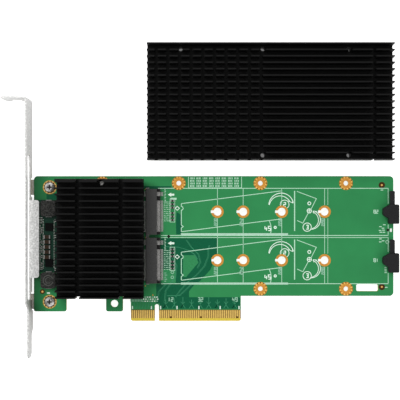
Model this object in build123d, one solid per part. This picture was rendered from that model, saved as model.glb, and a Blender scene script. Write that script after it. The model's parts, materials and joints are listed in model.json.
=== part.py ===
"""NVMe RAID controller card: a low-profile expansion card with two M.2 drive slots, on a
full-height bracket, with its drive heatsink taken off and laid beside it.

The origin lies on the board's mid-plane, at the foot of the edge connector, in the middle of
its key notch. X runs along the card away from the bracket, Y up the card from the edge
connector, and Z out of the component side. Lengths are in millimetres.
"""
from build123d import *
import os

# Circuit board
board_thickness = 1.57
board_left = -57.4
board_bottom = 11.7
board_height = 55.9
board_corner_radius = 1.8
board_end_margin = 2.1
tab_bottom = 4.45
tab_corner_radius = 0.9
left_tab_width = 15.2
hook_tab_left = -23.7
hook_tab_width = 7.85
hook_hole_diameter = 3.4
hook_hole_height = 3.68
vent_slot_length = 10.2
vent_slot_width = 3.3
vent_slot_inset = 12.25
vent_slot_rise = 3.85
vent_slot_corner_radius = 0.8

# Edge connector
contact_pitch = 1.0
contact_width = 0.7
contact_top = 5.05
contact_thickness = 0.05
contact_set_back = 0.9
contacts_before_key = 11
contacts_after_key = 38
key_to_contact = 1.5
tongue_margin = 0.65
key_width = 1.9
key_height = 7.85
bevel_height = 1.3
bevel_depth = 0.45
short_front_contacts = (17, 31, 48)
short_back_contacts = (1,)

# Drive slots, with drive lengths measured from where a drive's leading edge seats
slot_spacing = 22.66
slot_datum_x = -1.75
drive_lengths = (30, 42, 60, 80)
longest_drive = 110
keyhole_diameter = 3.7
keyhole_ring_width = 1.05
keyhole_notch_reach = 3.1
keyhole_notch_width = 1.2

# Plated pads
pad_thickness = 0.05
star_pad_diameter = 6.4
fiducial_diameter = 1.0
fiducial_inset = 5.4
fiducial_rise = 4.2
test_pad_diameter = 1.1
test_pad_x = 4.0
test_pad_gap = 1.15

# Drive connectors
connector_length = 21.2
connector_height = 4.2
connector_back_depth = 3.35
connector_cover_reach = 1.85
connector_lip_reach = 3.4
connector_cheek_width = 1.1
connector_cheek_height = 3.6
mouth_floor = 2.2
mouth_height = 1.0
drive_key_offset = 6.125
drive_key_width = 1.0
drive_key_clearance = 0.5
drive_contact_pitch = 0.5
drive_contact_width = 0.3
drive_contact_thickness = 0.15
drive_contact_inset = 0.4
front_contact_count = 37
back_contact_count = 38
solder_tail_length = 1.3
peg_diameter = 1.1
peg_length = 1.2
peg_offset = 9.4
peg_set_back = 1.9
peg_clearance = 0.1
anchor_width = 1.5
anchor_clearance = 0.1
anchor_height = 1.4
anchor_thickness = 0.15

# Drive retainer clips
clip_nose_reach = 3.2
clip_nose_width = 3.0
clip_nose_radius = 1.2
clip_block_reach = 4.3
clip_block_above = 3.4
clip_block_below = 5.6
clip_height = 3.9
clip_corner_radius = 0.6
clip_arm_left = 0.2
clip_arm_width = 2.2
clip_arm_length = 6.3
clip_arm_height = 2.5
clip_stem_clearance = 0.15
clip_foot_diameter = 5.0
clip_foot_thickness = 0.9
clip_pin_diameter = 3.0

# Heatsink fins
fin_pitch = 2.955
fin_root = 1.0
fin_taper = 0.2
edge_notch_depth = 0.7

# Controller package and its heatsink
package_size = 27.0
package_base_height = 1.1
package_cap_size = 23.5
package_cap_height = 1.5
package_cap_chamfer = 0.6
thermal_pad_thickness = 0.4
controller_sink_right = -5.9
controller_sink_width = 40.3
controller_sink_length = 55.1
controller_sink_drop = 0.95
controller_base_thickness = 2.5
controller_fin_height = 8.4
controller_cut_inset = 10.2
controller_cut_width = 1.9
controller_hole_x = -25.45

# Drive heatsink
drive_sink_gap = 0.6
drive_sink_width = 113.8
drive_sink_inset = 0.85
drive_base_thickness = 2.0
drive_fin_height = 7.0
drive_cut_first = 4.3
drive_cut_pitch = 5.36
drive_cut_count = 10
drive_cut_far = 9.2
drive_cut_width = 1.6
drive_whole_edge = 1.3
boss_height = 5.3
sink_hole_xs = (10.2, 48.3, 88.2)
sink_hole_inset = 3.3
boss_diameter = 3.6
fin_pocket_diameter = 3.1
drive_pad_length = 100.0
drive_pad_width = 20.0
drive_pad_thickness = 1.5
drive_pad_start = 5.0
laid_shift = 0.95
laid_gap = 7.2

# Screws
sink_screw_diameter = 2.0
sink_screw_head_diameter = 3.8
sink_screw_head_height = 1.4
sink_screw_engagement = 2.4
sink_screw_run_out = 0.5
bracket_screw_diameter = 2.5
bracket_screw_head_diameter = 4.4
bracket_screw_head_height = 1.5
bracket_screw_tip = 0.5
screw_head_taper = 0.4
screw_head_flare = 1.5
recess_width = 0.7
recess_reach = 2.38
recess_depth = 0.8
hole_clearance = 0.2
thread_clearance = 0.04

# Bracket
sheet_thickness = 0.86
bend_radius = 0.6
bracket_gap = 1.4
bracket_width = 18.42
bracket_height = 120.02
bracket_below_board = 2.55
bracket_rise = 35.3
top_tab_reach = 11.43
top_tab_corner_radius = 2.0
top_notch_width = 4.42
top_notch_depth = 6.2
top_notch_from_face = 6.0
window_bottom = 10.3
window_height = 66.9
window_low_rail = 6.4
window_width = 8.1
window_corner_radius = 1.4
tail_width = 10.19
tail_shoulder = 9.6
tail_low_shoulder = -3.6
tail_slope = 2.4
tail_tip_chamfer = 1.6
tail_corner_radius = 0.7
jog_offset = 0.5
jog_top = 9.3
jog_bottom = 4.6
jog_radius = 2.0
ledge_bottom = 20.3
ledge_length = 36.1
ledge_reach = 4.05
ledge_corner_radius = 1.2
fold_relief = 0.7
board_tab_width = 7.2
board_tab_reach = 11.6
board_tab_corner_radius = 1.5
bracket_screw_inset = 7.4
upper_screw_drop = 5.2
lower_screw_rise = 4.55

# Power parts beside the bracket
inductor_width = 7.1
inductor_length = 7.4
inductor_height = 3.0
inductor_corner_radius = 1.3
inductor_crown = 0.35
inductor_terminal_width = 2.6
inductor_terminal_reach = 0.35
inductor_terminal_height = 0.9
inductor_x = 7.0
inductor_ys = (12.85, -20.55)
regulator_height = 0.95
regulator_dimple_diameter = 0.5
regulator_dimple_depth = 0.15
regulator_x = 7.15
regulator_ys = (4.25, -12.55)
regulator_size = 3.6
output_capacitor_x = 6.2
output_capacitor_top = -0.4
output_capacitor_pitch = 2.35
output_capacitor_count = 5

# Chip sizes: length, width, height, and the length of each plated end
large_chip = (2.9, 1.6, 1.3, 0.45)
medium_chip = (1.6, 0.8, 0.7, 0.3)
small_chip = (1.1, 0.55, 0.4, 0.25)

# Parts under the controller heatsink
memory_length = 5.3
memory_width = 5.2
memory_height = 1.75
memory_lead_span = 7.9
memory_leads_a_side = 4
memory_lead_pitch = 1.27
memory_lead_width = 0.4
memory_lead_thickness = 0.2
memory_lead_rise = 0.8
memory_from_package = (1.0, 8.2)
clock_size = 4.0
clock_height = 0.9
clock_from_package = (2.0, 7.5)
back_capacitor_pitch = (5.4, 4.6)
back_capacitor_counts = (4, 2)

# Small parts: coupling capacitors beside each drive connector, resistors beside the ledge
coupling_gap = 5.6
coupling_rises = (5.1, 3.5, 1.9, -0.6, -2.2, -3.8)
resistor_x = 3.7
resistor_rises = (8.1, 6.6, 3.4, 1.9, -2.8, -5.2, -7.0, -9.6, -13.1, -15.0)
outer_resistor_x = 10.0
outer_resistor_rises = (7.2, -0.2, -15.5)

# Activity light
light_length = 1.6
light_width = 0.9
light_height = 0.6
light_lens_height = 0.25
light_lens_length = 1.0
light_x = 0.85
light_drop = 8.6

# Levels and edges that follow from the sizes above
board_top = board_bottom + board_height
board_middle = board_bottom + board_height / 2
board_right = slot_datum_x + longest_drive + board_end_margin
front_face = board_thickness / 2
back_face = -board_thickness / 2
table = back_face - bracket_below_board
slot_ys = (board_middle + slot_spacing / 2, board_middle - slot_spacing / 2)
sink_rows = (board_top - sink_hole_inset, board_bottom + sink_hole_inset)
anchor_foot = (slot_spacing - connector_length) / 2 - anchor_clearance
sink_hole_diameter = sink_screw_diameter + hole_clearance
controller_sink_left = controller_sink_right - controller_sink_width
controller_x = (controller_sink_left + controller_sink_right) / 2
controller_y = board_middle - controller_sink_drop
controller_base = front_face + package_base_height + package_cap_height + thermal_pad_thickness
bracket_inner = board_left - bracket_gap
bracket_middle = bracket_inner - sheet_thickness / 2
bend_middle = bend_radius + sheet_thickness / 2
bracket_screw_x = board_left + bracket_screw_inset
bracket_screw_ys = (board_top - upper_screw_drop, tab_bottom + lower_screw_rise)


def block(x, y, z):
    """A box between two levels on each axis."""
    size = Box(x[1] - x[0], y[1] - y[0], z[1] - z[0])
    return Pos((x[0] + x[1]) / 2, (y[0] + y[1]) / 2, (z[0] + z[1]) / 2) * size


def rod(x, y, z, diameter):
    """An upright cylinder between two levels."""
    return Pos(x, y, (z[0] + z[1]) / 2) * Cylinder(diameter / 2, z[1] - z[0])


def area(x, y, radius=0):
    """A rectangle between two levels on each axis, with round corners if asked."""
    width = x[1] - x[0]
    height = y[1] - y[0]
    shape = RectangleRounded(width, height, radius) if radius else Rectangle(width, height)
    return Pos((x[0] + x[1]) / 2, (y[0] + y[1]) / 2) * shape


def along_x(section, x):
    """A section drawn in Y and Z, drawn out between two X levels."""
    return extrude(Plane.YZ.offset(x[0]) * section, amount=x[1] - x[0], dir=(1, 0, 0))


def along_y(section, y):
    """A section drawn in X and Z, drawn out between two Y levels."""
    return extrude(Plane.XZ.offset(-y[1]) * section, amount=y[1] - y[0], dir=(0, -1, 0))


def along_z(section, z):
    """A section drawn in X and Y, drawn out between two Z levels."""
    return extrude(Plane.XY.offset(z[0]) * section, amount=z[1] - z[0], dir=(0, 0, 1))


def span(middle, width):
    """The two levels of a width about its middle."""
    return (middle - width / 2, middle + width / 2)


def save(name, shapes):
    """Write the pieces of one sub-part."""
    solids = [solid for shape in shapes for solid in shape.solids()]
    export_step(Compound(solids), f"parts/{name}.step")


def keyhole(x, y):
    """A retaining hole with the small notch that stops a fastener from turning."""
    hole = Pos(x, y) * Circle(keyhole_diameter / 2)
    return hole + area((x - keyhole_notch_reach, x), span(y, keyhole_notch_width))


def end_notch(y):
    """The place for the longest drive, a round-bottomed notch open to the board's end."""
    x = slot_datum_x + longest_drive
    hole = Pos(x, y) * Circle(keyhole_diameter / 2)
    return hole + area((x, board_right + 1), span(y, keyhole_diameter))


def keyhole_places():
    """The middles of the keyholes along both slots."""
    return [(slot_datum_x + length, y) for y in slot_ys for length in drive_lengths]


def sink_places():
    """The middles of the drive heatsink's screw holes, with the card assembled."""
    upper = [(x, sink_rows[0]) for x in sink_hole_xs]
    lower = [(x, sink_rows[1]) for x in sink_hole_xs[1:]]
    return upper + lower


def controller_places():
    """The middles of the controller heatsink's screw holes."""
    return [(controller_hole_x, y) for y in sink_rows]


def bracket_places():
    """The middles of the bracket's screw holes."""
    return [(bracket_screw_x, y) for y in bracket_screw_ys]


def peg_places():
    """The middles of the drive connectors' locating pegs."""
    x = slot_datum_x - peg_set_back
    return [(x, y + side * peg_offset) for y in slot_ys for side in (-1, 1)]


def contact_places():
    """The middles of the edge contacts, counted from the bracket end."""
    before = [-key_to_contact - contact_pitch * i for i in reversed(range(contacts_before_key))]
    after = [key_to_contact + contact_pitch * i for i in range(contacts_after_key)]
    return before + after


def board_outline():
    """The routed outline of the board with its tongue, its tabs and every cut-out."""
    places = contact_places()
    overlap = board_bottom + 2 * board_corner_radius
    left_tab = area((board_left, board_left + left_tab_width), (tab_bottom, overlap), tab_corner_radius)
    hook_x = (hook_tab_left, hook_tab_left + hook_tab_width)
    hook_tab = area(hook_x, (tab_bottom, overlap), tab_corner_radius)
    tongue_x = (places[0] - tongue_margin, places[-1] + tongue_margin)
    tongue = area(tongue_x, (0, overlap), tab_corner_radius)
    outline = area((board_left, board_right), (board_bottom, board_top), board_corner_radius)
    outline = outline + left_tab + hook_tab + tongue
    key = area(span(0, key_width), (-1, key_height - key_width / 2))
    key += Pos(0, key_height - key_width / 2) * Circle(key_width / 2)
    hook_hole = Pos(sum(hook_x) / 2, tab_bottom + hook_hole_height) * Circle(hook_hole_diameter / 2)
    vent_x = span(board_right - vent_slot_inset, vent_slot_length)
    vent_y = span(board_bottom + vent_slot_rise, vent_slot_width)
    vent = area(vent_x, vent_y, vent_slot_corner_radius)
    cuts = [key, hook_hole, vent]
    cuts += [keyhole(x, y) for x, y in keyhole_places()]
    cuts += [end_notch(y) for y in slot_ys]
    sink_hole = Circle(sink_hole_diameter / 2)
    cuts += [Pos(x, y) * sink_hole for x, y in sink_places() + controller_places()]
    screw_hole = Circle((bracket_screw_diameter + hole_clearance) / 2)
    cuts += [Pos(x, y) * screw_hole for x, y in bracket_places()]
    peg_hole = Circle((peg_diameter + 2 * peg_clearance) / 2)
    cuts += [Pos(x, y) * peg_hole for x, y in peg_places()]
    return outline - cuts


def circuit_board():
    """The laminate plate, bevelled on both faces along the foot of its tongue."""
    board = along_z(board_outline(), (back_face, front_face))
    wedge = Polygon(
        (bevel_height, front_face),
        (0, front_face - bevel_depth),
        (-1, front_face - bevel_depth),
        (-1, front_face + 1),
        (bevel_height, front_face + 1),
        align=None,
    )
    front_bevel = along_x(wedge, (board_left, board_right))
    return board - front_bevel - mirror(front_bevel, Plane.XY)


def edge_contacts(z, short):
    """The gold contacts on one face. The presence contacts start further up."""
    contacts = []
    for number, x in enumerate(contact_places(), start=1):
        foot = bevel_height + (contact_set_back if number in short else 0)
        contacts.append(block(span(x, contact_width), (foot, contact_top), z))
    return contacts


def star_pads():
    """The plated rings round the screw holes, on the component side."""
    level = (front_face, front_face + pad_thickness)
    disc = Circle(star_pad_diameter / 2)
    sink_ring = disc - Circle(sink_hole_diameter / 2)
    screw_ring = disc - Circle((bracket_screw_diameter + hole_clearance) / 2)
    pads = [along_z(Pos(x, y) * sink_ring, level) for x, y in sink_places() + controller_places()]
    return pads + [along_z(Pos(x, y) * screw_ring, level) for x, y in bracket_places()]


def keyhole_rings():
    """The plated rings round the keyholes and the end notches."""
    level = (front_face, front_face + pad_thickness)
    disc = Circle(keyhole_diameter / 2 + keyhole_ring_width)
    rings = [along_z(Pos(x, y) * disc - keyhole(x, y), level) for x, y in keyhole_places()]
    end_x = slot_datum_x + longest_drive
    inside = area((board_left, end_x), (board_bottom, board_top))
    for y in slot_ys:
        rings.append(along_z((Pos(end_x, y) * disc & inside) - end_notch(y), level))
    return rings


def copper_dots():
    """Two optical fiducials and a test pad."""
    level = (front_face, front_face + pad_thickness)
    x = board_right - fiducial_inset
    lower_inductor_edge = board_middle + inductor_ys[1] - inductor_length / 2
    test_pad_y = lower_inductor_edge - test_pad_gap - test_pad_diameter / 2
    return [
        rod(x, board_top - fiducial_rise, level, fiducial_diameter),
        rod(x, board_bottom + fiducial_rise, level, fiducial_diameter),
        rod(board_left + test_pad_x, test_pad_y, level, test_pad_diameter),
    ]


def cross_recess(x, y, face, side):
    """A cross driving recess, cut into a head from its face. side is 1 for a head that faces up."""
    floor = face - side * recess_depth
    level = (min(floor, face + side), max(floor, face + side))
    cross = Rectangle(recess_reach, recess_width) + Rectangle(recess_width, recess_reach)
    return along_z(Pos(x, y) * cross, level)


def pan_screw(x, y, seat, side, head_diameter, head_height, diameter, length):
    """A pan-head screw whose head stands off a seat and whose shank runs the other way."""
    face = seat + side * head_height
    head = rod(x, y, (min(seat, face), max(seat, face)), head_diameter)
    rim = head.edges().filter_by(GeomType.CIRCLE).sort_by(Axis.Z)[-1 if side > 0 else 0]
    drop = head_height * screw_head_taper
    head = chamfer(rim, drop, drop * screw_head_flare)
    tip = seat - side * length
    shank = rod(x, y, (min(seat, tip), max(seat, tip)), diameter)
    return head + shank - cross_recess(x, y, face, side)


def bracket_screws():
    """The screws that hold the board down on the bracket's tabs."""
    length = board_thickness + sheet_thickness + bracket_screw_tip
    seat = front_face + pad_thickness
    return [
        pan_screw(x, y, seat, 1, bracket_screw_head_diameter, bracket_screw_head_height,
                  bracket_screw_diameter, length + pad_thickness)
        for x, y in bracket_places()
    ]


def sink_screws():
    """The screws that come through the board from behind into the controller heatsink."""
    length = board_thickness + sink_screw_engagement
    return [
        pan_screw(x, y, back_face, -1, sink_screw_head_diameter, sink_screw_head_height,
                  sink_screw_diameter, length)
        for x, y in controller_places()
    ]


def fold(foot, level, reach, y):
    """A flange folded inwards out of the bracket's plate. Its plate leg starts at foot."""
    path = FilletPolyline(
        (bracket_middle, foot),
        (bracket_middle, level),
        (bracket_inner + reach, level),
        radius=bend_middle,
    )
    return along_y(trace(path, sheet_thickness), y)


def bracket_sheet():
    """The bent sheet seen from the edge: top tab, plate, the jog and the tail."""
    top = board_top + bracket_rise + sheet_thickness / 2
    tail = board_top + bracket_rise + sheet_thickness - bracket_height
    path = FilletPolyline(
        (bracket_middle - sheet_thickness / 2 - top_tab_reach, top),
        (bracket_middle, top),
        (bracket_middle, jog_top),
        (bracket_middle + jog_offset, jog_bottom),
        (bracket_middle + jog_offset, tail),
        radius=(bend_middle, jog_radius, jog_radius),
    )
    return along_z(trace(path, sheet_thickness), (table, table + bracket_width))


def bracket_front():
    """The bracket's outline seen from the front, with the stepped and tapered tail."""
    top = board_top + bracket_rise + 2 * sheet_thickness
    tail = board_top + bracket_rise + sheet_thickness - bracket_height
    high = table + bracket_width
    step = (bracket_width - tail_width) / 2
    outline = Polygon(
        (top, table),
        (top, high),
        (tail_shoulder, high),
        (tail_shoulder - tail_slope, high - step),
        (tail + tail_tip_chamfer, high - step),
        (tail, high - step - tail_tip_chamfer),
        (tail, table + step + tail_tip_chamfer),
        (tail + tail_tip_chamfer, table + step),
        (tail_low_shoulder - tail_slope, table + step),
        (tail_low_shoulder, table),
        align=None,
    )
    return fillet(outline.vertices(), tail_corner_radius)


def top_tab_cuts():
    """What is cut off the top tab: its screw notch and its two outer corners."""
    tip = bracket_middle - sheet_thickness / 2 - top_tab_reach
    y = (board_top + bracket_rise - 1, board_top + bracket_rise + sheet_thickness + 1)
    notch_x = bracket_inner - sheet_thickness - top_notch_from_face
    notch_depth = top_notch_depth - top_notch_width / 2
    notch = area(span(notch_x, top_notch_width), (table - 1, table + notch_depth))
    notch += Pos(notch_x, table + notch_depth) * Circle(top_notch_width / 2)
    length = 2 * top_tab_reach
    blank = area((tip, tip + length), (table, table + bracket_width), top_tab_corner_radius)
    square = area((tip - 1, tip + length / 2), (table - 1, table + bracket_width + 1))
    return along_y(square - blank, y) + along_y(notch, y)


def bracket_window():
    """The long vent window, let down where the ledge is folded out of it."""
    low = table + window_low_rail
    y = (window_bottom, window_bottom + window_height)
    window = area(y, (low, low + window_width), window_corner_radius)
    ledge_y = (ledge_bottom - fold_relief, ledge_bottom + ledge_length + fold_relief)
    window += area(ledge_y, (low - sheet_thickness / 2 - bend_middle, low + window_width / 2))
    return window


def bracket_ledge():
    """The ledge folded inwards from the window's lower side, over the board's edge."""
    low = table + window_low_rail
    y = (ledge_bottom, ledge_bottom + ledge_length)
    sheet = fold(front_face, low - sheet_thickness / 2, ledge_reach, y)
    edge = bracket_inner + ledge_reach
    keep = area((edge - 2 * bracket_width, edge), y, ledge_corner_radius)
    return sheet & along_z(keep, (table, low + 1))


def board_tab(y):
    """A tab folded inwards under the board, with its screw hole and rounded end."""
    width = span(y, board_tab_width)
    level = back_face - sheet_thickness / 2
    sheet = fold(back_face + bracket_below_board, level, board_tab_reach, width)
    edge = bracket_inner + board_tab_reach
    keep = area((edge - 2 * bracket_width, edge), width, board_tab_corner_radius)
    tab = sheet & along_z(keep, (table, back_face + 2 * bracket_below_board))
    hole_diameter = bracket_screw_diameter + thread_clearance
    return tab - rod(bracket_screw_x, y, (table, front_face), hole_diameter)


def bracket():
    """One folded sheet with its window, ledge, board tabs, top tab and tail."""
    x = (bracket_inner - 2 * top_tab_reach, board_left)
    sheet = bracket_sheet() & along_x(bracket_front(), x)
    tab_level = back_face - sheet_thickness / 2
    reliefs = [
        area(span(y, board_tab_width + 2 * fold_relief), (table - 1, tab_level + bend_middle))
        for y in bracket_screw_ys
    ]
    plate_x = (bracket_inner - 2 * sheet_thickness, board_left)
    sheet -= along_x(bracket_window(), plate_x)
    sheet -= [along_x(relief, plate_x) for relief in reliefs]
    sheet -= top_tab_cuts()
    sheet += bracket_ledge()
    for y in bracket_screw_ys:
        sheet += board_tab(y)
    return sheet


def fin_section(y, base, thickness, height):
    """A finned extrusion's section. The uppermost fin takes up what the pitch leaves over."""
    root = base + thickness
    section = area(y, (base, root))
    count = int((y[1] - y[0] - fin_root) / fin_pitch) + 1
    for number in range(count):
        low = y[0] + number * fin_pitch
        high = y[1] if number == count - 1 else low + fin_root
        section += Polygon(
            (high, root - thickness / 2),
            (high, root),
            (high - fin_taper, root + height),
            (low + fin_taper, root + height),
            (low, root),
            (low, root - thickness / 2),
            align=None,
        )
    return section


def finned_block(x, y, base, thickness, height, cuts, cut_width, cut_end):
    """A heatsink body: a base with fins along X, crossed by milled cuts up to a Y level."""
    body = along_x(fin_section(y, base, thickness, height), x)
    root = base + thickness
    depth = (root, root + height + 1)
    return body - [block(span(cut, cut_width), (y[0] - 1, cut_end), depth) for cut in cuts]


def edge_notch(x, low_edge, base, thickness, width):
    """A small notch through the base, where a cut runs out at the heatsink's lower edge."""
    level = (base - 1, base + thickness + 1)
    return block(span(x, width), (low_edge - 1, low_edge + edge_notch_depth), level)


def controller_heatsink():
    """The controller's heatsink with two bosses that stand on the board."""
    x = (controller_sink_left, controller_sink_right)
    cuts = (x[0] + controller_cut_inset, x[1] - controller_cut_inset)
    y = span(controller_y, controller_sink_length)
    sink = finned_block(x, y, controller_base, controller_base_thickness,
                        controller_fin_height, cuts, controller_cut_width, y[1] + 1)
    for cut in cuts:
        sink -= edge_notch(cut, y[0], controller_base, controller_base_thickness, controller_cut_width)
    seat = front_face + pad_thickness
    fin_top = controller_base + controller_base_thickness + controller_fin_height
    hole_diameter = sink_screw_diameter + thread_clearance
    for number, (place_x, place_y) in enumerate(controller_places()):
        sink += rod(place_x, place_y, (seat, controller_base + 1), boss_diameter)
        through = number == 0
        top = fin_top if through else seat + sink_screw_engagement + sink_screw_run_out
        sink -= rod(place_x, place_y, (seat, top), hole_diameter)
        if through:
            root = controller_base + controller_base_thickness
            sink -= rod(place_x, place_y, (root, fin_top + 1), fin_pocket_diameter)
    return sink


def drive_heatsink():
    """The drive heatsink, taken off and laid on its bosses beyond the board's top edge."""
    left = controller_sink_right + drive_sink_gap + laid_shift
    x = (left, left + drive_sink_width)
    lift = board_height + laid_gap - drive_sink_inset
    y = (board_bottom + drive_sink_inset + lift, board_top - drive_sink_inset + lift)
    base = table + boss_height
    root = base + drive_base_thickness
    top = root + drive_fin_height
    cuts = [x[0] + drive_cut_first + drive_cut_pitch * i for i in range(drive_cut_count)]
    cuts.append(x[1] - drive_cut_far)
    sink = finned_block(x, y, base, drive_base_thickness, drive_fin_height, cuts,
                        drive_cut_width, y[1] - drive_whole_edge)
    sink -= edge_notch(cuts[-1], y[0], base, drive_base_thickness, drive_cut_width)
    for place_x, place_y in sink_places():
        hole_x = place_x + laid_shift
        hole_y = place_y + lift
        sink += rod(hole_x, hole_y, (table, base + drive_base_thickness / 2), boss_diameter)
        sink -= rod(hole_x, hole_y, (table, top), sink_screw_diameter + thread_clearance)
        sink -= rod(hole_x, hole_y, (root, top + 1), fin_pocket_diameter)
    return sink


def drive_thermal_pads():
    """The pads stuck under the drive heatsink, one over each drive."""
    left = slot_datum_x + drive_pad_start + laid_shift
    lift = board_height + laid_gap - drive_sink_inset
    base = table + boss_height
    return [
        block((left, left + drive_pad_length), span(y + lift, drive_pad_width),
              (base - drive_pad_thickness, base))
        for y in slot_ys
    ]


def controller_package():
    """The controller: a laminate base with a moulded cap."""
    foot = front_face
    step = foot + package_base_height
    base = block(span(controller_x, package_size), span(controller_y, package_size), (foot, step))
    cap_top = step + package_cap_height
    cap = block(span(controller_x, package_cap_size), span(controller_y, package_cap_size), (step, cap_top))
    rim = cap.faces().sort_by(Axis.Z)[-1].edges()
    return base + chamfer(rim, package_cap_chamfer)


def controller_thermal_pad():
    """The pad between the controller and its heatsink."""
    size = package_cap_size - 2 * package_cap_chamfer
    level = (controller_base - thermal_pad_thickness, controller_base)
    return block(span(controller_x, size), span(controller_y, size), level)


def connector_section():
    """The drive connector's moulding, seen from its end, with the drive's mouth on the right."""
    back = slot_datum_x - connector_back_depth
    cover = slot_datum_x + connector_cover_reach
    lip = slot_datum_x + connector_lip_reach
    floor = front_face + mouth_floor
    roof = floor + mouth_height
    top = front_face + connector_height
    ease = mouth_height / 3
    return Polygon(
        (back, front_face),
        (back, top - ease),
        (back + ease, top),
        (cover, top),
        (cover, roof + ease / 2),
        (cover - ease, roof),
        (slot_datum_x, roof),
        (slot_datum_x, floor),
        (lip, floor),
        (lip, front_face),
        align=None,
    )


def connector_housing(slot_y):
    """One drive connector's housing with cheeks, key and locating pegs."""
    back = slot_datum_x - connector_back_depth
    lip = slot_datum_x + connector_lip_reach
    y = span(slot_y, connector_length)
    housing = along_y(connector_section(), y)
    level = (front_face, front_face + connector_cheek_height)
    housing += block((back, lip), (y[0], y[0] + connector_cheek_width), level)
    housing += block((back, lip), (y[1] - connector_cheek_width, y[1]), level)
    floor = front_face + mouth_floor
    key_y = span(slot_y + drive_key_offset, drive_key_width)
    housing += block((slot_datum_x - 1, lip), key_y, (floor - 1, floor + mouth_height))
    x = slot_datum_x - peg_set_back
    for side in (-1, 1):
        peg_y = slot_y + side * peg_offset
        housing += rod(x, peg_y, (front_face - peg_length, front_face + 1), peg_diameter)
    return housing


def drive_contact_rows(slot_y, count):
    """The middles of one row of drive contacts, leaving out those at the key."""
    first = slot_y - drive_contact_pitch * (count - 1) / 2
    key = slot_y + drive_key_offset
    keep_off = drive_key_width / 2 + drive_key_clearance
    places = [first + drive_contact_pitch * i for i in range(count)]
    return [y for y in places if abs(y - key) > keep_off]


def front_contact_section():
    """A contact of the lower row: along the lip, down its front and out to the board."""
    inner = slot_datum_x + drive_contact_inset
    lip = slot_datum_x + connector_lip_reach
    floor = front_face + mouth_floor
    thick = drive_contact_thickness
    return Polygon(
        (inner, floor),
        (inner, floor + thick),
        (lip + thick, floor + thick),
        (lip + thick, front_face + thick),
        (lip + solder_tail_length, front_face + thick),
        (lip + solder_tail_length, front_face),
        (lip, front_face),
        (lip, floor),
        align=None,
    )


def back_contact_section():
    """The part of an upper-row contact that shows: down the back and out to the board."""
    back = slot_datum_x - connector_back_depth
    thick = drive_contact_thickness
    return Polygon(
        (back, front_face),
        (back, front_face + mouth_floor),
        (back - thick, front_face + mouth_floor),
        (back - thick, front_face + thick),
        (back - solder_tail_length, front_face + thick),
        (back - solder_tail_length, front_face),
        align=None,
    )


def connector_contacts(slot_y):
    """Both rows of contacts of one drive connector."""
    front = front_contact_section()
    back = back_contact_section()
    contacts = [
        along_y(front, span(y, drive_contact_width))
        for y in drive_contact_rows(slot_y, front_contact_count)
    ]
    return contacts + [
        along_y(back, span(y, drive_contact_width))
        for y in drive_contact_rows(slot_y, back_contact_count)
    ]


def connector_anchors(slot_y):
    """The soldered metal tabs at the two ends of a drive connector."""
    back = slot_datum_x - connector_back_depth
    x = (back, back + anchor_width)
    anchors = []
    for side in (-1, 1):
        face = slot_y + side * connector_length / 2
        section = Polygon(
            (face, front_face),
            (face, front_face + anchor_height),
            (face + side * anchor_thickness, front_face + anchor_height),
            (face + side * anchor_thickness, front_face + anchor_thickness),
            (face + side * anchor_foot, front_face + anchor_thickness),
            (face + side * anchor_foot, front_face),
            align=None,
        )
        anchors.append(along_x(section, x))
    return anchors


def clip_nose(x, y):
    """The tapered nose of a clip, which reaches over the end of a drive."""
    half = clip_nose_width / 2
    nose = Polygon(
        (x - clip_nose_reach, y - half),
        (x, y - clip_block_above),
        (x + clip_corner_radius, y - clip_block_above),
        (x + clip_corner_radius, y + clip_block_above),
        (x, y + clip_block_above),
        (x - clip_nose_reach, y + half),
        align=None,
    )
    tip = nose.vertices().sort_by(Axis.X)[:2]
    return fillet(tip, clip_nose_radius)


def retainer_clip(slot_y):
    """A moulded clip that snaps into the end notch and holds down the end of a drive."""
    x = slot_datum_x + longest_drive
    foot = front_face + pad_thickness
    block_y = (slot_y - clip_block_below, slot_y + clip_block_above)
    plan = area((x - clip_corner_radius, x + clip_block_reach), block_y, clip_corner_radius)
    body = along_z(plan + clip_nose(x, slot_y), (foot, foot + clip_height))
    body = chamfer(body.faces().sort_by(Axis.Z)[-1].edges(), clip_corner_radius / 2)
    arm_x = (x + clip_arm_left, x + clip_arm_left + clip_arm_width)
    arm_y = (block_y[1] - 2 * clip_corner_radius, block_y[1] + clip_arm_length)
    arm = along_z(area(arm_x, arm_y, clip_corner_radius), (foot, foot + clip_arm_height))
    under = back_face - clip_foot_thickness
    stem = rod(x, slot_y, (back_face, foot), keyhole_diameter - 2 * clip_stem_clearance)
    flange = rod(x, slot_y, (under, back_face), clip_foot_diameter)
    pin = rod(x, slot_y, (table, under), clip_pin_diameter)
    pin = chamfer(pin.edges().filter_by(GeomType.CIRCLE).sort_by(Axis.Z)[0], clip_corner_radius)
    return body + arm + stem + flange + pin


def inductor(y):
    """A moulded power inductor with round corners and a crowned rim."""
    plan = area(span(board_left + inductor_x, inductor_width), span(y, inductor_length),
                inductor_corner_radius)
    body = along_z(plan, (front_face, front_face + inductor_height))
    return chamfer(body.faces().sort_by(Axis.Z)[-1].edges(), inductor_crown)


def inductor_terminals(y):
    """The folded terminals at the two ends of an inductor."""
    terminals = []
    for side in (-1, 1):
        face = y + side * inductor_length / 2
        ends = sorted((face, face + side * inductor_terminal_reach))
        level = (front_face, front_face + inductor_terminal_height)
        x = span(board_left + inductor_x, inductor_terminal_width)
        terminals.append(block(x, ends, level))
    return terminals


def flat_chip(x, y, size, height):
    """A leadless chip with the dimple that marks its first pin."""
    top = front_face + height
    body = block(span(x, size), span(y, size), (front_face, top))
    inset = size / 2 - regulator_dimple_diameter
    dimple_level = (top - regulator_dimple_depth, top + 1)
    return body - rod(x - inset, y + inset, dimple_level, regulator_dimple_diameter)


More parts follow.
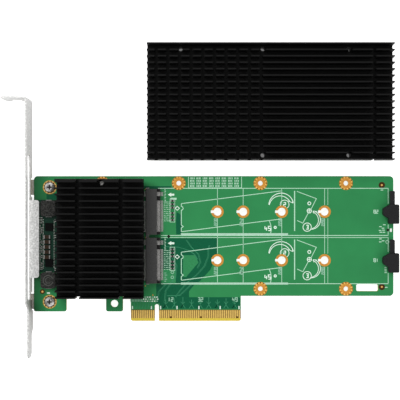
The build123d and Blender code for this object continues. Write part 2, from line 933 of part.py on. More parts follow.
def firmware_memory():
    """The eight-lead memory chip below the controller package."""
    x = controller_x - package_size / 2 + memory_from_package[0]
    y = controller_y - package_size / 2 - memory_from_package[1]
    body = block(span(x, memory_width), span(y, memory_length),
                 (front_face + memory_lead_thickness, front_face + memory_height))
    for side in (-1, 1):
        inner = side * memory_width / 2
        outer = side * memory_lead_span / 2
        foot = Polygon(
            (x + inner, front_face + memory_lead_rise),
            (x + (inner + outer) / 2, front_face + memory_lead_rise),
            (x + (inner + outer) / 2 + side * memory_lead_thickness, front_face + memory_lead_thickness),
            (x + outer, front_face + memory_lead_thickness),
            (x + outer, front_face),
            (x + (inner + outer) / 2, front_face),
            (x + (inner + outer) / 2 - side * memory_lead_thickness, front_face + memory_lead_rise / 2),
            (x + inner, front_face + memory_lead_rise / 2),
            align=None,
        )
        for number in range(memory_leads_a_side):
            lead_y = y + memory_lead_pitch * (number - (memory_leads_a_side - 1) / 2)
            body += along_y(foot, span(lead_y, memory_lead_width))
    return body


def clock_generator():
    """The small clock chip below the controller package."""
    x = controller_x + package_size / 2 - clock_from_package[0]
    y = controller_y - package_size / 2 - clock_from_package[1]
    return flat_chip(x, y, clock_size, clock_height)


def chip(x, y, size, turned, face, side):
    """A chip resistor or capacitor: its body, and its two plated ends."""
    length, width, height, end = size
    top = face + side * height
    level = (min(face, top), max(face, top))

    def piece(low, high):
        if turned:
            return block(span(x, width), (y + low, y + high), level)
        return block((x + low, x + high), span(y, width), level)

    half = length / 2
    return piece(end - half, half - end), [piece(-half, end - half), piece(half - end, half)]


def chips(places, size, turned, face=front_face, side=1):
    """A set of like chips: the bodies and all the plated ends."""
    pairs = [chip(x, y, size, turned, face, side) for x, y in places]
    return [body for body, _ in pairs], [end for _, ends in pairs for end in ends]


def output_capacitor_places():
    """The row of large capacitors between the two inductors."""
    x = board_left + output_capacitor_x
    top = board_middle + output_capacitor_top
    return [(x, top - output_capacitor_pitch * i) for i in range(output_capacitor_count)]


def coupling_capacitor_places():
    """The capacitors of the drive lanes, in a column beside each drive connector."""
    x = slot_datum_x + connector_lip_reach + coupling_gap
    return [(x, y + rise) for y in slot_ys for rise in coupling_rises]


def feedback_resistor_places():
    """The small parts between the ledge and the power parts."""
    inner = [(board_left + resistor_x, board_middle + rise) for rise in resistor_rises]
    outer_x = board_left + outer_resistor_x
    return inner + [(outer_x, board_middle + rise) for rise in outer_resistor_rises]


def back_capacitor_places():
    """The decoupling capacitors on the solder side, under the controller."""
    columns, rows = back_capacitor_counts
    left = controller_x - back_capacitor_pitch[0] * (columns - 1) / 2
    foot = controller_y - back_capacitor_pitch[1] * (rows - 1) / 2
    return [
        (left + back_capacitor_pitch[0] * i, foot + back_capacitor_pitch[1] * j)
        for j in range(rows)
        for i in range(columns)
    ]


def activity_light():
    """The light near the board's end, below the upper clip: a base with its lens."""
    x = span(slot_datum_x + longest_drive + light_x, light_width)
    y = slot_ys[0] - light_drop
    base_top = front_face + light_height - light_lens_height
    base = block(x, span(y, light_length), (front_face, base_top))
    return base + block(x, span(y, light_lens_length), (base_top, front_face + light_height))


def build():
    """Write every sub-part."""
    os.makedirs("parts", exist_ok=True)
    save("circuit_board", [circuit_board()])
    front_level = (front_face, front_face + contact_thickness)
    back_level = (back_face - contact_thickness, back_face)
    save("edge_contacts_front", edge_contacts(front_level, short_front_contacts))
    save("edge_contacts_back", edge_contacts(back_level, short_back_contacts))
    save("star_pads", star_pads())
    save("keyhole_rings", keyhole_rings())
    save("copper_dots", copper_dots())
    save("bracket", [bracket()])
    save("bracket_screws", bracket_screws())
    save("controller_heatsink", [controller_heatsink()])
    save("controller_heatsink_screws", sink_screws())
    save("controller_package", [controller_package()])
    save("controller_thermal_pad", [controller_thermal_pad()])
    save("drive_heatsink", [drive_heatsink()])
    save("drive_thermal_pads", drive_thermal_pads())
    for name, slot_y in zip(("upper", "lower"), slot_ys):
        save(f"{name}_drive_connector", [connector_housing(slot_y)])
        save(f"{name}_drive_contacts", connector_contacts(slot_y))
        save(f"{name}_connector_anchors", connector_anchors(slot_y))
        save(f"{name}_retainer_clip", [retainer_clip(slot_y)])
    inductor_levels = [board_middle + y for y in inductor_ys]
    save("power_inductors", [inductor(y) for y in inductor_levels])
    save("inductor_terminals", [t for y in inductor_levels for t in inductor_terminals(y)])
    regulators = [
        flat_chip(board_left + regulator_x, board_middle + y, regulator_size, regulator_height)
        for y in regulator_ys
    ]
    save("voltage_regulators", regulators)
    save("firmware_memory", [firmware_memory()])
    save("clock_generator", [clock_generator()])
    large_bodies, large_ends = chips(output_capacitor_places(), large_chip, False)
    save("output_capacitors", large_bodies)
    save("output_capacitor_ends", large_ends)
    coupling_bodies, coupling_ends = chips(coupling_capacitor_places(), medium_chip, False)
    save("coupling_capacitors", coupling_bodies)
    save("coupling_capacitor_ends", coupling_ends)
    resistor_bodies, resistor_ends = chips(feedback_resistor_places(), small_chip, True)
    save("feedback_resistors", resistor_bodies)
    save("feedback_resistor_ends", resistor_ends)
    back_bodies, back_ends = chips(back_capacitor_places(), medium_chip, False, back_face, -1)
    save("back_capacitors", back_bodies)
    save("back_capacitor_ends", back_ends)
    save("activity_light", [activity_light()])


build()
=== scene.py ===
"""Looks for the NVMe RAID controller card: finishes, printing, copper patterns, floor, light and camera."""

import json
import math
from collections import namedtuple

import bpy
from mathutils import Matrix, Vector


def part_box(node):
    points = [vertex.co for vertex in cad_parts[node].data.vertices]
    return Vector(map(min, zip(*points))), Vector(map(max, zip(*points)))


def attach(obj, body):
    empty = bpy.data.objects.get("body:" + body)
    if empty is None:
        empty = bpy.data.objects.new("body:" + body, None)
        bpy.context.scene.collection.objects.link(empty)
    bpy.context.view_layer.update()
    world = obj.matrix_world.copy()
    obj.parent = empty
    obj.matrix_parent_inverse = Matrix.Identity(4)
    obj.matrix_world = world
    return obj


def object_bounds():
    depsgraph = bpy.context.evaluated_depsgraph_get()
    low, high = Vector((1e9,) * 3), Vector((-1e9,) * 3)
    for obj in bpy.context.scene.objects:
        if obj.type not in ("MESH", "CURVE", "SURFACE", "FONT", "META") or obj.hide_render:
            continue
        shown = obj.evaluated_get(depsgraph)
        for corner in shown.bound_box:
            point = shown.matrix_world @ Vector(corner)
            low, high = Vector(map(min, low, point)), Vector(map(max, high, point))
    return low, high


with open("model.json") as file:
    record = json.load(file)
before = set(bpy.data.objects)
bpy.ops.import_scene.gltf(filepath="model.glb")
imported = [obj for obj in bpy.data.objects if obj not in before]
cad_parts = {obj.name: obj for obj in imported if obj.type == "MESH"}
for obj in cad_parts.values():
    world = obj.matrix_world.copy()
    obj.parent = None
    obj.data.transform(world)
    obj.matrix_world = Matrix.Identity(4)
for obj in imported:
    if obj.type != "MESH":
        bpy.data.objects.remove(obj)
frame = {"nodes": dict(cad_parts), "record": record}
solid_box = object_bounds()
record = frame["record"]
MM = 0.001

# Board layout in millimetres, as in the part
BOARD_LOW, BOARD_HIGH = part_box("circuit_board")
FACE = BOARD_HIGH.z / MM
TABLE = solid_box[0].z
MIDDLE_Y = 39.65
SLOT_SPACING = 22.66
SLOT_YS = (MIDDLE_Y + SLOT_SPACING / 2, MIDDLE_Y - SLOT_SPACING / 2)
DATUM_X = -1.75
DRIVE_LENGTHS = (30, 42, 60, 80)
KEYHOLE_CLEARANCE = 3.1
CONTACT_TOP = 5.05
TONGUE_LEFT = -13.2
SINK_HOLES = ((10.2, 64.3), (48.3, 64.3), (88.2, 64.3), (48.3, 15.0), (88.2, 15.0), (-25.45, 64.3))
BRACKET_SCREWS = ((-50.0, 62.4), (-50.0, 9.0))
LOWER_INDUCTOR = (-50.4, 19.1)
# The two fiducials and the test pad: x, y and the radius of the opening in the mask
COPPER_DOTS = ((104.95, 63.4, 1.5), (104.95, 15.9, 1.5), (-53.4, 13.7, 1.15))

# Heights on a drive connector: its cheeks, its key and its row of leads
CHEEK_TOP = FACE + 3.6
KEY_TOP = FACE + 3.2
LEAD_TOP = FACE + 2.35

# The bracket: the middle of its plate, and the shade at its tail's root. The shade is deepest at the top,
# ends just above it, is gone where the tail is clear, and also fades with height above the board's face.
PLATE_MIDDLE = -59.23
TAIL_TOP = 9.4
TAIL_CLEAR = -8.0
TAIL_EDGE = 0.4
TAIL_SHADE_HEIGHT = 8

# Levels above the board's face, so that the layers lie in order
POUR_LEVEL = 0.004
ISLAND_LEVEL = 0.008
TRACE_LEVEL = 0.012
PRINT_LEVEL = 0.024
# Strokes that cross each other lie on successive steps, so that no two faces share a plane
STROKE_STEP = 0.002
STROKE_STEPS = 6
COVER_LEVEL = PRINT_LEVEL + STROKE_STEP * STROKE_STEPS
PAD_LEVEL = 0.05
PAD_GAP_LEVEL = PAD_LEVEL + 0.006
PAD_DASH_LEVEL = PAD_LEVEL + 0.02
PEAK_LEVEL = 0.01
# How far small dark faces and chip ends stand above what they lie on
GAP_PROUD = 0.02

# The record's colours as linear light, but a warmer gold and copper
COLOURS = {m["slot"]: tuple(m["base_color"]) for m in record["materials"]}
COLOURS.update(gold=(0.82, 0.54, 0.13), copper_pad=(0.68, 0.292, 0.03))

# Display colours: the mask's green as the photo shows it, and what the record has no slot for
MASK_GREEN = (46, 134, 78)
DARK_GREEN = (0, 88, 56)
SHADED_GREEN = (12, 52, 38)
TRACE_GREEN = (58, 138, 100)
MASK_OVER_COPPER = (48, 134, 82)
LAMINATE = (222, 198, 74)
BARE_LAMINATE = (92, 64, 18)
BARE_OPENING = (56, 34, 4)
PLUGGED_VIA = (14, 16, 10)
WHITE_INK = (230, 252, 234)
PALE_INK = (184, 226, 198)
BAR_INK = (176, 214, 190)
DIM_INK = (142, 190, 162)
INDUCTOR_INK = (92, 94, 90)
CHIP_DARK = (30, 26, 22)
CHIP_ENDS = (190, 204, 190)
# Painted shadow in the connectors' gaps
CONNECTOR_SHADOW = (14, 14, 14)
# Painted shade in the screws' recesses
RECESS_SHADE = (20, 18, 16)
SOLDER = (238, 196, 96)
# The star pads' dark gaps, and painted shade round the bracket screws
PAD_GAP_AND_SHADE = (66, 44, 16)
PAD_DASH = (222, 194, 122)

# Finishes with one grain. The grain and the relief are in millimetres, the two tones are shares of the
# colour, and the roughness, metal and specular values are the shader's own.
Finish = namedtuple("Finish", "grain tones roughness relief metal specular", defaults=(0.0, 0.5))
FINISHES = {
    "gold": Finish(1.2, (0.74, 0.88), (0.25, 0.38), 0.004, metal=0.5),
    "copper_pad": Finish(0.5, (0.67, 0.97), (0.3, 0.45), 0.01, metal=0.35),
    # The screw steel's wide tones are painted reflections, laid as random bright and dark patches
    "screw_steel": Finish(1.3, (0.22, 1.0), (0.2, 0.3), 0.02, metal=0.6),
    "tinned": Finish(0.3, (0.5, 0.86), (0.3, 0.45), 0.01, metal=0.6),
    "black_anodised": Finish(0.25, (0.4, 0.9), (0.42, 0.55), 0.01, specular=0.06),
    # Chip plastic, the inductors' bodies and brown ceramic are dark partly in their own colour and partly as
    # painted shade of the strip by the bracket
    "chip_plastic": Finish(0.15, (0.02, 0.1), (0.5, 0.65), 0.01, specular=0.06),
    "connector_plastic": Finish(0.5, (0.7, 1.1), (0.45, 0.6), 0.01, specular=0.12),
    "clip_plastic": Finish(0.4, (0.4, 0.8), (0.4, 0.55), 0.01, specular=0.09),
    "inductor_body": Finish(0.5, (0.03, 0.42), (0.55, 0.75), 0.03, specular=0.04),
    "ceramic_brown": Finish(0.3, (0.06, 0.18), (0.35, 0.5), 0.01, specular=0.1),
    "ceramic_dark": Finish(0.3, (0.3, 0.8), (0.4, 0.55), 0.01, specular=0.12),
    "thermal_pad": Finish(0.8, (0.9, 1.1), (0.7, 0.85), 0.02),
    "light_lens": Finish(0.4, (0.95, 1.05), (0.25, 0.35), 0.005),
}
SHADED_TIN = Finish(0.3, (0.21, 0.52), (0.35, 0.5), 0.01, metal=0.4)
SOLDER_FINISH = Finish(0.3, (0.72, 1.04), (0.25, 0.4), 0.006, metal=0.3)
INK = Finish(0.6, (0.9, 1.08), (0.36, 0.5), 0.003, specular=0.12)
SHADOW = INK._replace(specular=0.1)
# Tinned metal in the shade of the parts beside it
SHADED_NODES = ("output_capacitor_ends", "inductor_terminals", "upper_connector_anchors",
                "lower_connector_anchors")

# The board: its mask in a broad mottle, with the grain of its gloss and painted shade that darkens it by the
# bracket
MASK = Finish(14, (0.93, 1.05), (0.34, 0.44), 0.003, specular=0.12)
MASK_GLOSS_GRAIN = 3
MASK_SHADE_BY_BRACKET = 0.34
# Its laminate: the weave, two tones, how far it shows above the contacts, and how upright a face points that
# isn't a cut edge
WEAVE = 0.35
LAMINATE_TONES = (0.85, 1.15)
OPENING_MARGIN = 0.25
UPRIGHT = 0.985

# The bracket's zinc, with the size of its spangle, and its tones as low, high and patch, outside and inside;
# the inside tones are darker as painted shade
ZINC = Finish(0.8, (0.9, 1.38), (0.4, 0.56), 0.006, metal=0.25, specular=0.1)
SPANGLE = 0.9
OUTER_TONES = (*ZINC.tones, 0.98)
INNER_SHADED_TONES = (0.78, 1.26, 0.84)
# Painted shade on the plate's inner side beneath the board and at the tail's root, as shares of the steel's
# colour
SHADE_BENEATH = 0.8
SHADE_BY_TAIL = 0.35
# What lies less than this above the board's lower face is beneath it
BENEATH_MARGIN = 0.05

# The floor is lifted towards white where it shows, in the open, and less under the laid heatsink as painted
# shade, which starts a little inside its outline
FLOOR_SIZE = 6
FLOOR_BELOW = 0.05
FLOOR_GREY = 0.8
FLOOR_LIFT = 0.84
HOLE_SHADE_LIFT = 0.16
HOLE_MARGIN = 1
SURROUND = 0.55

# The photograph's view: straight down from a little over half a metre, over the middle of the picture
CAMERA_PLACE = (0.02011, 0.05645, 0.570)
CAMERA_ANGLE = 18.62
# Each lamp's place, power and size
LAMPS = {"key": ((-0.5, 0.6, 0.9), 7.5, 0.7), "fill": ((0.7, -0.5, 1.0), 3.5, 0.9)}
LAMP_AIM = (0, 0.05, 0)


# Materials

def linear(red, green, blue):
    """An 8-bit display colour as linear light."""
    def channel(value):
        share = value / 255
        return share / 12.92 if share <= 0.04045 else ((share + 0.055) / 1.055) ** 2.4
    return tuple(channel(v) for v in (red, green, blue))


def shade(colour, factor):
    """A colour made darker or lighter, with the alpha that a socket wants."""
    return tuple(min(1.0, c * factor) for c in colour) + (1.0,)


class Graph:
    """A material's node tree with short calls for what every finish needs."""

    def __init__(self, name):
        self.material = bpy.data.materials.new(name)
        self.material.use_nodes = True
        self.tree = self.material.node_tree
        self.shader = self.tree.nodes["Principled BSDF"]
        self.place = self.tree.nodes.new("ShaderNodeTexCoord").outputs["Object"]

    def link(self, value, socket):
        self.tree.links.new(value, socket)

    def feed(self, name, value):
        """A value that varies over the surface, to one of the shader's sockets."""
        self.link(value, self.shader.inputs[name])

    def noise(self, size_mm, detail=3.0):
        """Noise whose grain is about size_mm across."""
        node = self.tree.nodes.new("ShaderNodeTexNoise")
        node.inputs["Scale"].default_value = 1 / (size_mm * MM)
        node.inputs["Detail"].default_value = detail
        self.link(self.place, node.inputs["Vector"])
        return node.outputs["Fac"]

    def spangle(self, size_mm):
        """Random values in patches about size_mm across, as on zinc."""
        node = self.tree.nodes.new("ShaderNodeTexVoronoi")
        node.inputs["Scale"].default_value = 1 / (size_mm * MM)
        self.link(self.place, node.inputs["Vector"])
        split = self.tree.nodes.new("ShaderNodeSeparateColor")
        self.link(node.outputs["Color"], split.inputs["Color"])
        return split.outputs["Red"]

    def spread(self, value, low, high, start=0.3, end=0.7):
        """A value taken from the range start to end to the range low to high."""
        node = self.tree.nodes.new("ShaderNodeMapRange")
        sockets = ("From Min", "From Max", "To Min", "To Max")
        for socket, number in zip(sockets, (start, end, low, high)):
            node.inputs[socket].default_value = number
        self.link(value, node.inputs["Value"])
        return node.outputs["Result"]

    def blend(self, share, low, high):
        """A colour between low and high, each a colour or a socket."""
        node = self.tree.nodes.new("ShaderNodeMix")
        node.data_type = "RGBA"
        self.link(share, node.inputs["Factor"])
        colour_sockets = [socket for socket in node.inputs if socket.type == "RGBA"]
        for socket, value in zip(colour_sockets, (low, high)):
            if isinstance(value, tuple):
                socket.default_value = value
            else:
                self.link(value, socket)
        return next(socket for socket in node.outputs if socket.type == "RGBA")

    def tones(self, share, colour, low, high):
        """A colour between two tones of it."""
        return self.blend(share, shade(colour, low), shade(colour, high))

    def calculate(self, operation, value, other):
        """A calculation with a socket and a number or a second socket."""
        node = self.tree.nodes.new("ShaderNodeMath")
        node.operation = operation
        self.link(value, node.inputs[0])
        if isinstance(other, (int, float)):
            node.inputs[1].default_value = other
        else:
            self.link(other, node.inputs[1])
        return node.outputs["Value"]

    def below(self, value, limit):
        """1 below the limit, and 0 above it."""
        return self.calculate("LESS_THAN", value, limit)

    def above(self, value, limit):
        """1 above the limit, and 0 below it."""
        return self.calculate("GREATER_THAN", value, limit)

    def both(self, first, second):
        """1 where both hold, or the product of two values."""
        return self.calculate("MULTIPLY", first, second)

    def axes(self, vector):
        """The X, Y and Z of a vector."""
        node = self.tree.nodes.new("ShaderNodeSeparateXYZ")
        self.link(vector, node.inputs["Vector"])
        return node.outputs

    def bump(self, height, depth_mm):
        """Fine relief depth_mm deep."""
        node = self.tree.nodes.new("ShaderNodeBump")
        node.inputs["Distance"].default_value = depth_mm * MM
        self.link(height, node.inputs["Height"])
        self.feed("Normal", node.outputs["Normal"])

    def set(self, **values):
        """Values for the shader's own sockets, named with underscores for spaces."""
        for name, value in values.items():
            self.shader.inputs[name.replace("_", " ")].default_value = value

    def coat(self, colour, gloss_grain, height, finish):
        """The finished material, from what varies over it and from the finish's own values."""
        self.feed("Base Color", colour)
        self.feed("Roughness", self.spread(gloss_grain, *finish.roughness))
        self.bump(height, finish.relief)
        self.set(Metallic=finish.metal, Specular_IOR_Level=finish.specular)
        return self.material


def grained(name, colour, finish):
    """A material whose colour, roughness and height vary with one grain."""
    graph = Graph(name)
    grain = graph.noise(finish.grain)
    tone = graph.tones(graph.spread(grain, 0, 1), colour, *finish.tones)
    return graph.coat(tone, graph.noise(finish.grain * 3), grain, finish)


def paint(name, colour, finish=INK):
    """A display colour on the board, such as ink or mask over copper, with a fine grain."""
    return grained(name, linear(*colour), finish)


def board_finish():
    """Green mask, with painted shade darkening it towards the bracket, and bare laminate on the cut edges and
    round the contacts.
    """
    graph = Graph("solder_mask")
    place = graph.axes(graph.place)
    green = linear(*MASK_GREEN)
    mottle = graph.spread(graph.noise(MASK.grain, detail=2.0), 0, 1)
    mask = graph.tones(mottle, green, *MASK.tones)
    # Painted shade: the mask darkens from the bracket screws towards the bracket
    shade_by_bracket = graph.spread(place["X"], 0, 1, BOARD_LOW.x, BRACKET_SCREWS[0][0] * MM)
    mask = graph.blend(shade_by_bracket, shade(green, MASK_SHADE_BY_BRACKET), mask)
    opened = graph.both(graph.below(place["Y"], (CONTACT_TOP + OPENING_MARGIN) * MM),
                        graph.above(place["X"], TONGUE_LEFT * MM))
    face = graph.blend(opened, mask, shade(linear(*BARE_LAMINATE), 1))
    weave = graph.noise(WEAVE, detail=2.0)
    bare = graph.tones(graph.spread(weave, 0, 1), linear(*LAMINATE), *LAMINATE_TONES)
    normal = graph.tree.nodes.new("ShaderNodeNewGeometry").outputs["Normal"]
    edge = graph.below(graph.calculate("ABSOLUTE", graph.axes(normal)["Z"], 0), UPRIGHT)
    return graph.coat(graph.blend(edge, face, bare), graph.noise(MASK_GLOSS_GRAIN), weave, MASK)


def bracket_finish():
    """Zinc-plated sheet with fine darker spangle, and painted shade inside the plate, beneath the board and
    at the tail's root.
    """
    graph = Graph("bracket_steel")
    steel = COLOURS["bracket_steel"]
    fine = graph.noise(ZINC.grain, detail=4.0)
    patches = graph.spangle(SPANGLE)

    def plated(low, high, patch):
        """Two tones of steel in a fine grain, with patches of a third."""
        clean = graph.tones(graph.spread(fine, 0, 1, start=0.4, end=0.6), steel, low, high)
        return graph.blend(graph.spread(patches, 0, 0.5, start=0, end=1), clean, shade(steel, patch))

    place = graph.axes(graph.place)
    inside = graph.above(place["X"], PLATE_MIDDLE * MM)
    # Painted shade: the plate's inner side takes the darker tones
    spangled = graph.blend(inside, plated(*OUTER_TONES), plated(*INNER_SHADED_TONES))
    beneath = graph.below(place["Z"], BOARD_LOW.z + BENEATH_MARGIN * MM)
    tail = graph.both(graph.spread(place["Y"], 1, 0, TAIL_TOP * MM, TAIL_CLEAR * MM),
                      graph.below(place["Y"], (TAIL_TOP + TAIL_EDGE) * MM))
    tail = graph.both(tail, graph.spread(place["Z"], 1, 0, FACE * MM, (FACE + TAIL_SHADE_HEIGHT) * MM))
    # Painted shade at the tail's root, on the plate's inner side
    in_shade = graph.blend(graph.both(inside, tail), spangled, shade(steel, SHADE_BY_TAIL))
    # Painted shade on the inner side beneath the board, where the tabs lie
    tone = graph.blend(graph.both(inside, beneath), in_shade, shade(steel, SHADE_BENEATH))
    return graph.coat(tone, fine, fine, ZINC)


def make_finishes():
    """One material for each slot of the record."""
    finishes = {slot: grained(slot, COLOURS[slot], finish) for slot, finish in FINISHES.items()}
    finishes["solder_mask"] = board_finish()
    finishes["bracket_steel"] = bracket_finish()
    return finishes


def dress_nodes(finishes):
    """Give every node of the part the finish of its slot, but a duller tin to metal in the shade."""
    in_shade = grained("shaded_tin", COLOURS["tinned"], SHADED_TIN)
    for subpart in record["subparts"]:
        materials = frame["nodes"][subpart["node"]].data.materials
        material = in_shade if subpart["node"] in SHADED_NODES else finishes[subpart["material_slot"]]
        if not materials:
            materials.append(material)
        for index in range(len(materials)):
            materials[index] = material


# Flat shapes on the board

def piece(name, vertices, faces, material):
    """A mesh piece, given in millimetres, that rides on the card."""
    mesh = bpy.data.meshes.new(name)
    mesh.from_pydata([tuple(c * MM for c in v) for v in vertices], [], faces)
    mesh.update()
    obj = bpy.data.objects.new(name, mesh)
    bpy.context.scene.collection.objects.link(obj)
    mesh.materials.append(material)
    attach(obj, "root")
    return obj


def unit(a, b):
    """The direction from one point to another."""
    length = math.hypot(b[0] - a[0], b[1] - a[1])
    return (b[0] - a[0]) / length, (b[1] - a[1]) / length


def round_points(x, y, radius, count, first=0.0):
    """Points spaced evenly round a centre, the first of them that share of a step on from the X axis."""
    turns = [2 * math.pi * (number + first) / count for number in range(count)]
    return [(x + radius * math.cos(turn), y + radius * math.sin(turn)) for turn in turns]


def spaced(start, pitch, count):
    """Evenly spaced places, each with its number."""
    return [(number, start + number * pitch) for number in range(count)]


class Layer:
    """Flat shapes gathered at one level above the board's face, with y given from a middle line."""

    MITRE_LIMIT = 0.4

    def __init__(self, level):
        self.z = FACE + level
        self.middle = 0
        self.step = 0
        self.vertices = []
        self.faces = []

    def add(self, points, faces):
        """Faces over some points, all on the next step of the layer."""
        start = len(self.vertices)
        z = self.z + STROKE_STEP * (self.step % STROKE_STEPS)
        self.step += 1
        self.vertices += [(x, self.middle + y, z) for x, y in points]
        self.faces += [tuple(start + corner for corner in face) for face in faces]

    def patch(self, points):
        """A filled outline."""
        self.add(points, [range(len(points))])

    def bar(self, x, y):
        """A rectangle between two levels on each axis."""
        self.patch([(x[0], y[0]), (x[1], y[0]), (x[1], y[1]), (x[0], y[1])])

    def mark(self, x, y, length, height):
        """A small rectangle from its lower left corner."""
        self.bar((x, x + length), (y, y + height))

    def line(self, points, width, closed=False):
        """A line of even width through the points, mitred at its bends."""
        count = len(points)
        left, right = [], []
        for number, (x, y) in enumerate(points):
            before = points[number - 1] if closed or number > 0 else None
            after = points[(number + 1) % count] if closed or number < count - 1 else None
            sides = [unit(a, b) for a, b in ((before, (x, y)), ((x, y), after)) if a and b]
            nx = -sum(side[1] for side in sides)
            ny = sum(side[0] for side in sides)
            size = math.hypot(nx, ny) or 1
            nx, ny = nx / size, ny / size
            mitre = max(self.MITRE_LIMIT, abs(nx * -sides[0][1] + ny * sides[0][0]))
            reach = width / 2 / mitre
            left.append((x + nx * reach, y + ny * reach))
            right.append((x - nx * reach, y - ny * reach))
        last = count if closed else count - 1
        quads = [(i, count + i, count + (i + 1) % count, (i + 1) % count) for i in range(last)]
        self.add(left + right, quads)

    def arc(self, x, y, radius, turn, width, steps):
        """A line along part of a circle, from one angle to another in degrees."""
        start, end = turn
        angles = [math.radians(start + (end - start) * i / steps) for i in range(steps + 1)]
        self.line([(x + radius * math.cos(a), y + radius * math.sin(a)) for a in angles], width)

    def ring(self, x, y, radius, width, steps):
        """A line round a whole circle."""
        self.line(round_points(x, y, radius, steps), width, closed=True)

    def disc(self, x, y, radius, sides):
        """A filled circle."""
        self.patch(round_points(x, y, radius, sides))

    def ladder(self, x, levels, width, gaps):
        """An upright line between two levels with gaps left in it."""
        low = levels[0]
        for start, end in sorted(gaps):
            self.bar((x - width / 2, x + width / 2), (low, start))
            low = end
        self.bar((x - width / 2, x + width / 2), (low, levels[1]))

    def finish(self, name, material, slot="light_lens"):
        """The layer's shapes as one piece."""
        return piece(name, self.vertices, self.faces, material)


# The strokes of each figure, on a grid two high and one wide
STROKES = {
    "0": [[(0, 0), (1, 0), (1, 2), (0, 2), (0, 0.01)]],
    "1": [[(0.5, 0), (0.5, 2)]],
    "2": [[(0, 2), (1, 2), (1, 1), (0, 1), (0, 0), (1, 0)]],
    "3": [[(0, 2), (1, 2), (1, 0), (0, 0)], [(0.3, 1), (1, 1)]],
    "4": [[(0, 2), (0, 0.8), (1, 0.8)], [(0.8, 1.5), (0.8, 0)]],
    "5": [[(1, 2), (0, 2), (0, 1), (1, 1), (1, 0), (0, 0)]],
    "6": [[(1, 2), (0, 2), (0, 0), (1, 0), (1, 1), (0.1, 1)]],
    "8": [[(0, 0), (1, 0), (1, 2), (0, 2), (0, 0.01)], [(0.1, 1), (0.9, 1)]],
    "9": [[(0, 0), (1, 0), (1, 2), (0, 2), (0, 1), (0.9, 1)]],
}
# How far each figure starts from the one before it, on the same grid
FIGURE_PITCH = 1.6


def figures(layer, text, x, y, height, width, turned=False):
    """Figures in simple strokes from a lower left corner, turned to read upwards if asked."""
    step = height / 2
    for number, figure in enumerate(text):
        for stroke in STROKES[figure]:
            points = [((px + number * FIGURE_PITCH) * step, py * step) for px, py in stroke]
            if turned:
                points = [(-py, px) for px, py in points]
            layer.line([(x + px, y + py) for px, py in points], width)


# The marks of one slot, with y from the slot's middle

def fitting_marks(pale, bright):
    """The first half of a slot's guide: a drive goes in at a slant, contacts first, and turns down."""
    end, low, high = 11.4, -9.3, 3.8
    far, rise = 57.9, 5.9
    for y in (high, low):
        pale.line([(end + 0.1, y), (far, y + rise)], width=0.34)
    pale.line([(end, low), (end, -7.6), (12.3, -6.9), (end, -6.2)], width=0.36)
    pale.line([(end, -6.2), (end, 0.8)], width=0.36)
    pale.arc(end, 1.6, radius=0.85, turn=(-90, 90), width=0.36, steps=8)
    pale.line([(end, 2.4), (end, high)], width=0.36)
    key_mark = [(8.5, 1.6), (9.5, 2.5), (10.5, 1.6), (9.5, 0.7)]
    bright.line(key_mark, width=0.3, closed=True)
    bright.arc(58.0, 2.9, radius=5.8, turn=(12, 176), width=0.34, steps=18)
    bright.arc(57.5, 2.3, radius=5.1, turn=(28, 170), width=0.32, steps=16)
    arrow_head = [(61.3, 5.0), (63.4, 4.1), (63.1, 5.9)]
    bright.line(arrow_head, width=0.28)
    bright.ring(59.6, 3.4, radius=2.05, width=0.3, steps=18)
    figures(bright, "2", 59.15, 2.5, height=1.8, width=0.42)
    angle_sweep = [(52.4, -4.1), (53.1, -6.0), (53.4, -8.2), (53.0, -10.6)]
    pale.line(angle_sweep, width=0.34)
    figures(bright, "45", 50.4, -8.8, height=2.0, width=0.42)
    bright.ring(55.2, -7.3, radius=0.5, width=0.44, steps=10)


def holding_marks(pale, bright):
    """The second half of the guide: the clip turning over the drive's end."""
    pivot_x, pivot_y = 71.1, 0.4
    upper_side = [(65.3, 9.5), (74.4, 6.1), (72.0, 1.3)]
    pale.line(upper_side, width=0.32)
    bright.ring(pivot_x, pivot_y, radius=1.0, width=0.34, steps=16)
    bright.line([(pivot_x - 1.1, pivot_y), (pivot_x + 1.1, pivot_y)], width=0.3)
    bright.line([(pivot_x, pivot_y - 1.1), (pivot_x, pivot_y + 1.1)], width=0.3)
    bright.ring(pivot_x, 3.9, radius=0.7, width=0.38, steps=12)
    lower_side = [(70.7, -0.5), (68.1, -5.3), (65.4, -4.1)]
    pale.line(lower_side, width=0.32)
    bright.arc(71.9, -3.8, radius=4.4, turn=(-95, 62), width=0.32, steps=16)
    bright.arc(71.3, -3.9, radius=4.1, turn=(-75, 70), width=0.3, steps=14)
    arrow_head = [(74.6, 0.1), (73.0, 0.3), (73.3, -0.9)]
    bright.line(arrow_head, width=0.3)
    bright.ring(70.1, -7.2, radius=1.95, width=0.32, steps=18)
    figures(bright, "3", 69.7, -8.1, height=1.8, width=0.42)


def slot_figures(pale, dim, slot_number):
    """The bar between the guide's halves, the drive lengths beside their keyholes, and the slot's number."""
    pale.bar((64.0, 64.5), (-9.0, 9.7))
    for length in DRIVE_LENGTHS:
        figures(dim, "22" + str(length), DATUM_X + length - 0.35, -6.6, height=1.15, width=0.3, turned=True)
    figures(pale, slot_number, 101.2, -0.75, height=1.5, width=0.34)


